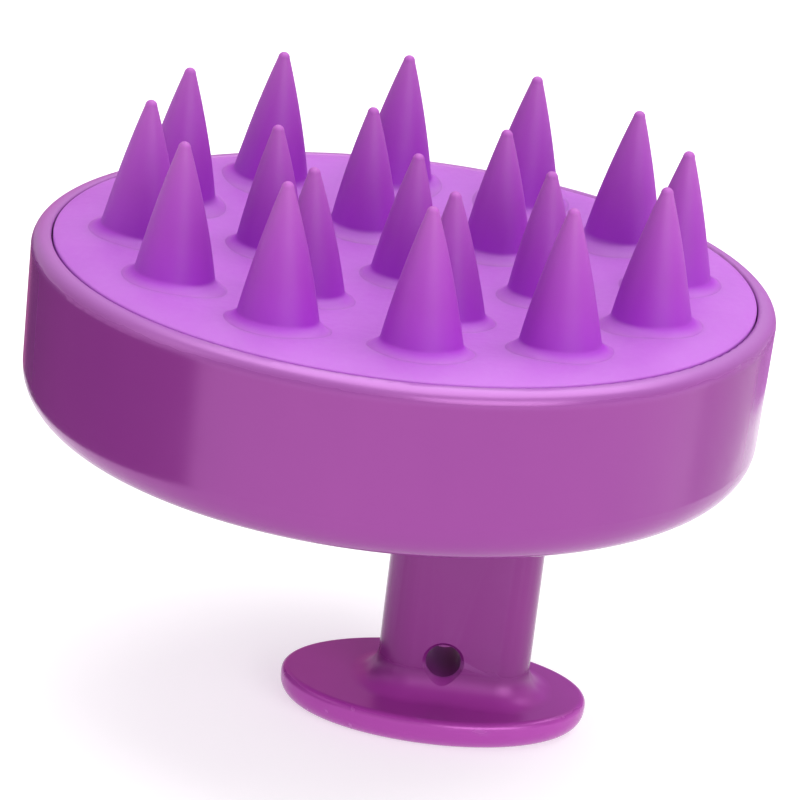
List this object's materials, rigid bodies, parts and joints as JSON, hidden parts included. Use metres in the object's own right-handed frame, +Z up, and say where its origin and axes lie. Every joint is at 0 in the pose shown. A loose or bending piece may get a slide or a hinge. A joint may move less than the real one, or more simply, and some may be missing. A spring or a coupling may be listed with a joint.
{
  "type": "curry comb",
  "caption": "Round palm-held curry comb: soft conical teeth on a dished soft face, in a hard cup with an off-centre stem handle and an oval foot with a hole to hang it by.",
  "frame": {"origin": "on the head's axis, in the plane that the handle's foot rests on", "axes": "+Z up along the head's axis through the centre tooth, teeth up; +X along the handle's wide side, towards the side that the handle is offset to"},
  "size_m": [0.083, 0.083, 0.0694],
  "materials": {
    "shell_plastic": "glossy moulded plastic, translucent purple tint",
    "handle_plastic": "glossy moulded plastic",
    "carrier_plastic": "plain moulded plastic",
    "pad_silicone": "satin silicone",
    "tooth_silicone": "satin silicone",
    "screw_steel": "zinc-plated steel"
  },
  "bodies": {
    "brush": {"body_shell": "shell_plastic", "carrier_plate": "carrier_plastic", "bristle_pad": "pad_silicone", "handle": "handle_plastic", "handle_screws": "screw_steel"},
    "tooth_centre": {"tooth_centre": "tooth_silicone"},
    "tooth_inner_1": {"tooth_inner_1": "tooth_silicone"},
    "tooth_inner_2": {"tooth_inner_2": "tooth_silicone"},
    "tooth_inner_3": {"tooth_inner_3": "tooth_silicone"},
    "tooth_inner_4": {"tooth_inner_4": "tooth_silicone"},
    "tooth_inner_5": {"tooth_inner_5": "tooth_silicone"},
    "tooth_inner_6": {"tooth_inner_6": "tooth_silicone"},
    "tooth_outer_01": {"tooth_outer_01": "tooth_silicone"},
    "tooth_outer_02": {"tooth_outer_02": "tooth_silicone"},
    "tooth_outer_03": {"tooth_outer_03": "tooth_silicone"},
    "tooth_outer_04": {"tooth_outer_04": "tooth_silicone"},
    "tooth_outer_05": {"tooth_outer_05": "tooth_silicone"},
    "tooth_outer_06": {"tooth_outer_06": "tooth_silicone"},
    "tooth_outer_07": {"tooth_outer_07": "tooth_silicone"},
    "tooth_outer_08": {"tooth_outer_08": "tooth_silicone"},
    "tooth_outer_09": {"tooth_outer_09": "tooth_silicone"},
    "tooth_outer_10": {"tooth_outer_10": "tooth_silicone"},
    "tooth_outer_11": {"tooth_outer_11": "tooth_silicone"},
    "tooth_outer_12": {"tooth_outer_12": "tooth_silicone"}
  },
  "joints": [
    {"name": "tooth_centre_bend", "type": "hinge", "parent": "brush", "child": "tooth_centre", "pos_m": [0, 0, 0.0538], "axis": [0, 1, 0], "range_deg": [-15, 15], "stiffness_Nm_per_rad": 0.03},
    {"name": "tooth_inner_1_bend", "type": "hinge", "parent": "brush", "child": "tooth_inner_1", "pos_m": [0.0153, -0.0027, 0.05437], "axis": [0, 1, 0], "range_deg": [-15, 15], "stiffness_Nm_per_rad": 0.03},
    {"name": "tooth_inner_2_bend", "type": "hinge", "parent": "brush", "child": "tooth_inner_2", "pos_m": [0.00999, 0.0119, 0.05437], "axis": [0, 1, 0], "range_deg": [-15, 15], "stiffness_Nm_per_rad": 0.03},
    {"name": "tooth_inner_3_bend", "type": "hinge", "parent": "brush", "child": "tooth_inner_3", "pos_m": [-0.00531, 0.0146, 0.05437], "axis": [0, 1, 0], "range_deg": [-15, 15], "stiffness_Nm_per_rad": 0.03},
    {"name": "tooth_inner_4_bend", "type": "hinge", "parent": "brush", "child": "tooth_inner_4", "pos_m": [-0.0153, 0.0027, 0.05437], "axis": [0, 1, 0], "range_deg": [-15, 15], "stiffness_Nm_per_rad": 0.03},
    {"name": "tooth_inner_5_bend", "type": "hinge", "parent": "brush", "child": "tooth_inner_5", "pos_m": [-0.00999, -0.0119, 0.05437], "axis": [0, 1, 0], "range_deg": [-15, 15], "stiffness_Nm_per_rad": 0.03},
    {"name": "tooth_inner_6_bend", "type": "hinge", "parent": "brush", "child": "tooth_inner_6", "pos_m": [0.00531, -0.0146, 0.05437], "axis": [0, 1, 0], "range_deg": [-15, 15], "stiffness_Nm_per_rad": 0.03},
    {"name": "tooth_outer_01_bend", "type": "hinge", "parent": "brush", "child": "tooth_outer_01", "pos_m": [0.02954, 0.00258, 0.0559], "axis": [0, 1, 0], "range_deg": [-15, 15], "stiffness_Nm_per_rad": 0.03},
    {"name": "tooth_outer_02_bend", "type": "hinge", "parent": "brush", "child": "tooth_outer_02", "pos_m": [0.02429, 0.01701, 0.0559], "axis": [0, 1, 0], "range_deg": [-15, 15], "stiffness_Nm_per_rad": 0.03},
    {"name": "tooth_outer_03_bend", "type": "hinge", "parent": "brush", "child": "tooth_outer_03", "pos_m": [0.01253, 0.02687, 0.0559], "axis": [0, 1, 0], "range_deg": [-15, 15], "stiffness_Nm_per_rad": 0.03},
    {"name": "tooth_outer_04_bend", "type": "hinge", "parent": "brush", "child": "tooth_outer_04", "pos_m": [-0.00258, 0.02954, 0.0559], "axis": [0, 1, 0], "range_deg": [-15, 15], "stiffness_Nm_per_rad": 0.03},
    {"name": "tooth_outer_05_bend", "type": "hinge", "parent": "brush", "child": "tooth_outer_05", "pos_m": [-0.01701, 0.02429, 0.0559], "axis": [0, 1, 0], "range_deg": [-15, 15], "stiffness_Nm_per_rad": 0.03},
    {"name": "tooth_outer_06_bend", "type": "hinge", "parent": "brush", "child": "tooth_outer_06", "pos_m": [-0.02687, 0.01253, 0.0559], "axis": [0, 1, 0], "range_deg": [-15, 15], "stiffness_Nm_per_rad": 0.03},
    {"name": "tooth_outer_07_bend", "type": "hinge", "parent": "brush", "child": "tooth_outer_07", "pos_m": [-0.02954, -0.00258, 0.0559], "axis": [0, 1, 0], "range_deg": [-15, 15], "stiffness_Nm_per_rad": 0.03},
    {"name": "tooth_outer_08_bend", "type": "hinge", "parent": "brush", "child": "tooth_outer_08", "pos_m": [-0.02429, -0.01701, 0.0559], "axis": [0, 1, 0], "range_deg": [-15, 15], "stiffness_Nm_per_rad": 0.03},
    {"name": "tooth_outer_09_bend", "type": "hinge", "parent": "brush", "child": "tooth_outer_09", "pos_m": [-0.01253, -0.02687, 0.0559], "axis": [0, 1, 0], "range_deg": [-15, 15], "stiffness_Nm_per_rad": 0.03},
    {"name": "tooth_outer_10_bend", "type": "hinge", "parent": "brush", "child": "tooth_outer_10", "pos_m": [0.00258, -0.02954, 0.0559], "axis": [0, 1, 0], "range_deg": [-15, 15], "stiffness_Nm_per_rad": 0.03},
    {"name": "tooth_outer_11_bend", "type": "hinge", "parent": "brush", "child": "tooth_outer_11", "pos_m": [0.01701, -0.02429, 0.0559], "axis": [0, 1, 0], "range_deg": [-15, 15], "stiffness_Nm_per_rad": 0.03},
    {"name": "tooth_outer_12_bend", "type": "hinge", "parent": "brush", "child": "tooth_outer_12", "pos_m": [0.02687, -0.01253, 0.0559], "axis": [0, 1, 0], "range_deg": [-15, 15], "stiffness_Nm_per_rad": 0.03}
  ]
}
